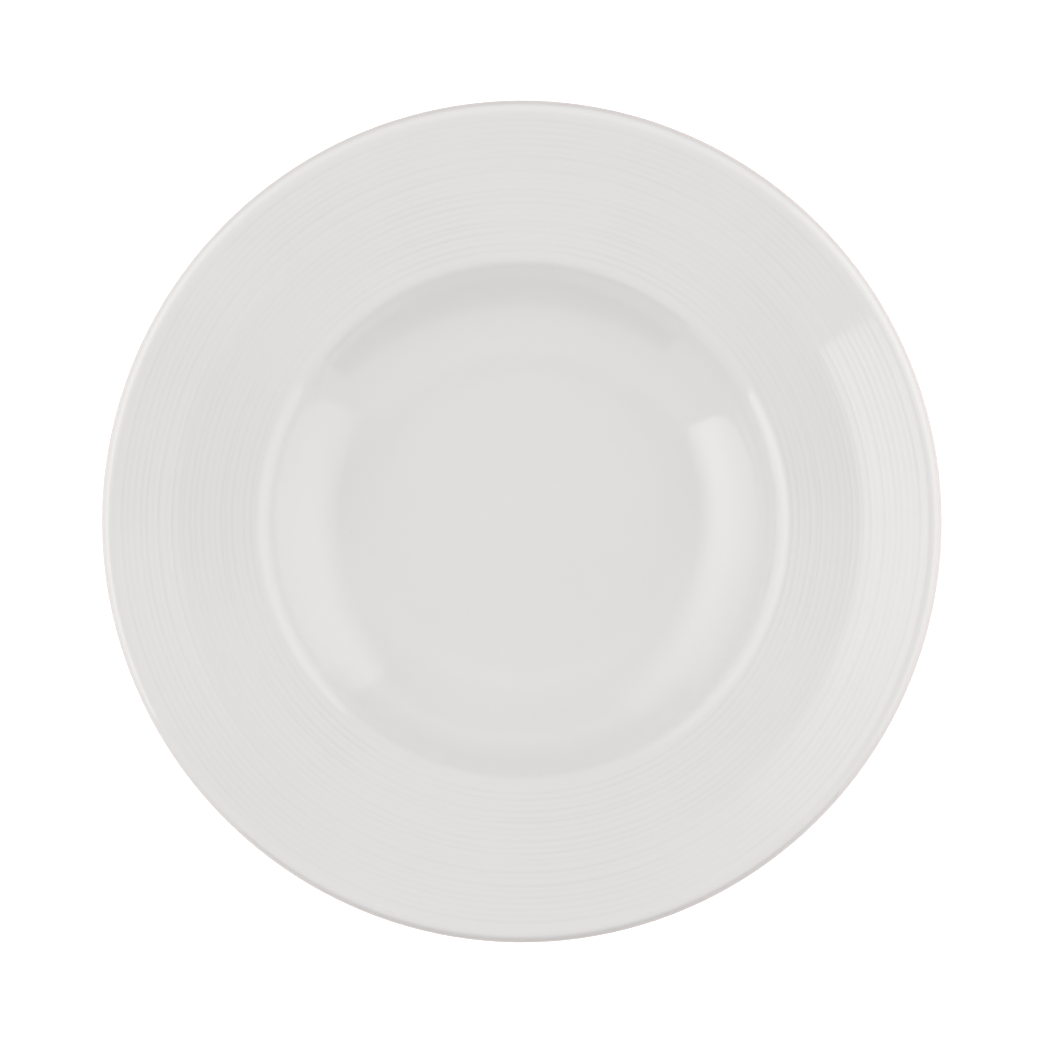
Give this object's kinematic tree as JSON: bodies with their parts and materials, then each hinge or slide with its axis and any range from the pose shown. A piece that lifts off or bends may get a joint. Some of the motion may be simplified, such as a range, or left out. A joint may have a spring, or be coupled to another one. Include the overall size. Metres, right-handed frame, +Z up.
{
  "type": "wide-rimmed deep bowl",
  "caption": "Round white glazed porcelain bowl with a deep well, a wide ringed rim and a bare-footed ring base, for serving soup or pasta.",
  "frame": {"origin": "on the bowl's axis, in the plane of the foot ring's bearing face", "axes": "+Z up along the bowl's axis, out of its mouth; X and Y are any two square directions across it"},
  "size_m": [0.285, 0.285, 0.0441],
  "materials": {
    "bare_porcelain": "unglazed, fine and matt, off-white",
    "white_glaze": "clear glossy glaze over white porcelain"
  },
  "bodies": {
    "root": {"porcelain_body": "bare_porcelain", "glaze_coat": "white_glaze", "foot_well_glaze": "white_glaze"}
  },
  "joints": []
}
